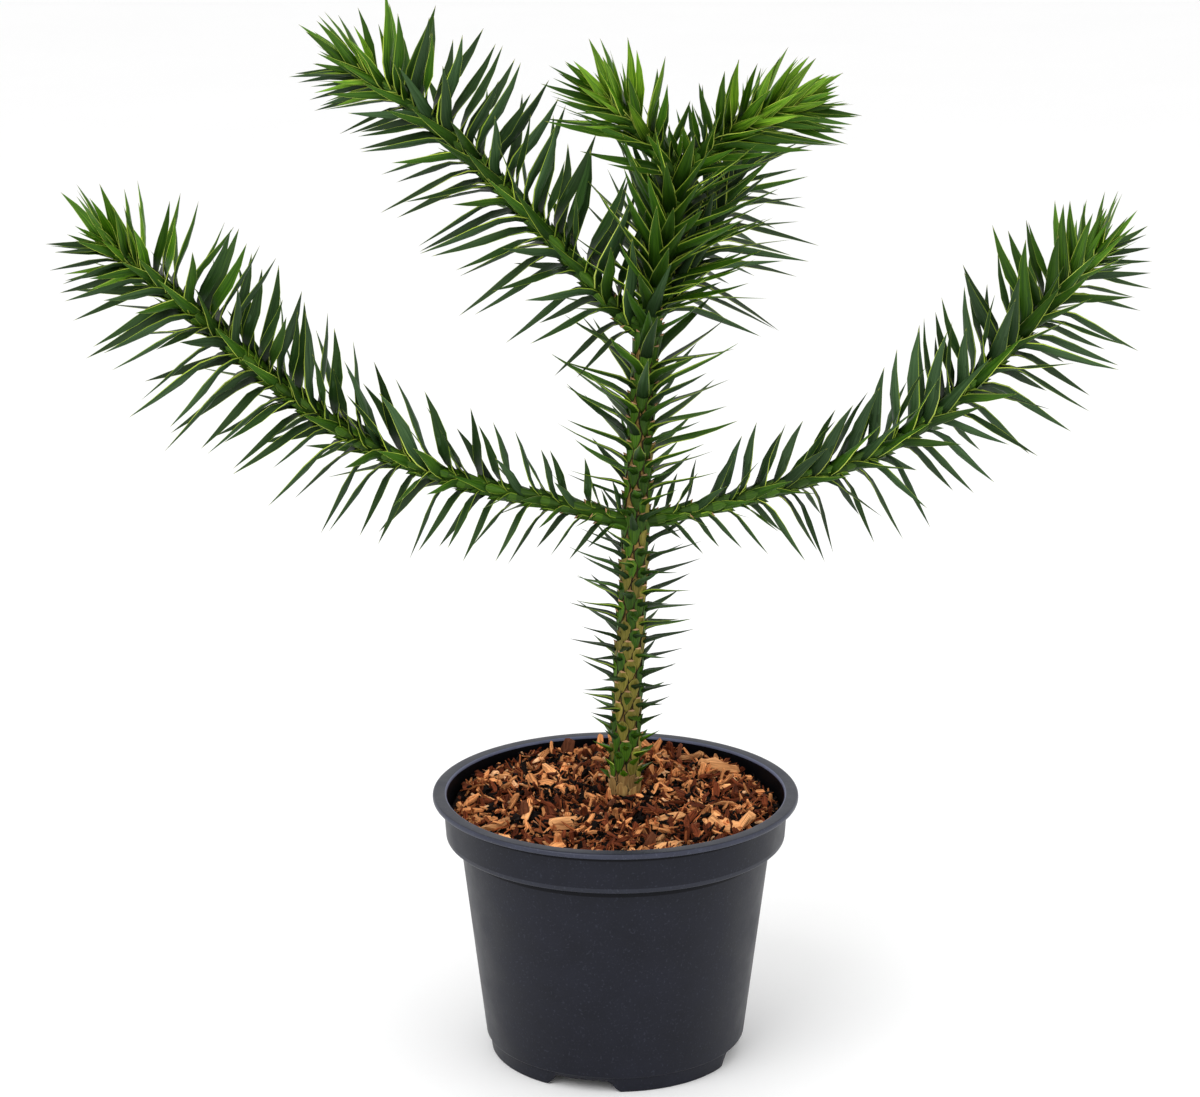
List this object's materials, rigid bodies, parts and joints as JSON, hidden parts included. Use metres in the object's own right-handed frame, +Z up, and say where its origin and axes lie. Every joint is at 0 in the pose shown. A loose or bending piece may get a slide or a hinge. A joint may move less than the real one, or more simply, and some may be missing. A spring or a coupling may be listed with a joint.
{
  "type": "potted monkey puzzle tree",
  "caption": "Young monkey puzzle tree with a scaly forked stem, upswept boughs and stiff sharp leaves in spirals, standing in a tapered nursery pot of bark mulch.",
  "frame": {"origin": "under the middle of the whole plant's box, at the level of the surface that the pot stands on", "axes": "+Z up, -Y towards the front as pictured, +X to the right of that view"},
  "size_m": [0.4894, 0.182, 0.4936],
  "materials": {
    "pot_plastic": "satin moulded plastic with faint scuffs",
    "bark_mulch": "coarse loose bark chips",
    "stem_bark": "matte greenish bark with leaf-base scales",
    "leaf": "leathery leaf with a slight gloss",
    "young_leaf": "leathery young leaf with a slight gloss"
  },
  "bodies": {
    "root": {"pot": "pot_plastic", "bark_mulch": "bark_mulch", "stem": "stem_bark", "stem_foot_leaves": "leaf", "stem_middle_leaves": "leaf", "leader_leaves": "leaf", "lower_left_bough": "stem_bark", "lower_left_leaves": "leaf", "lower_right_bough": "stem_bark", "lower_right_leaves": "leaf", "upper_left_bough": "stem_bark", "upper_left_leaves": "leaf", "upper_back_bough": "stem_bark", "upper_back_leaves": "leaf", "top_left_leaves": "young_leaf", "top_right_leaves": "young_leaf"}
  },
  "joints": []
}
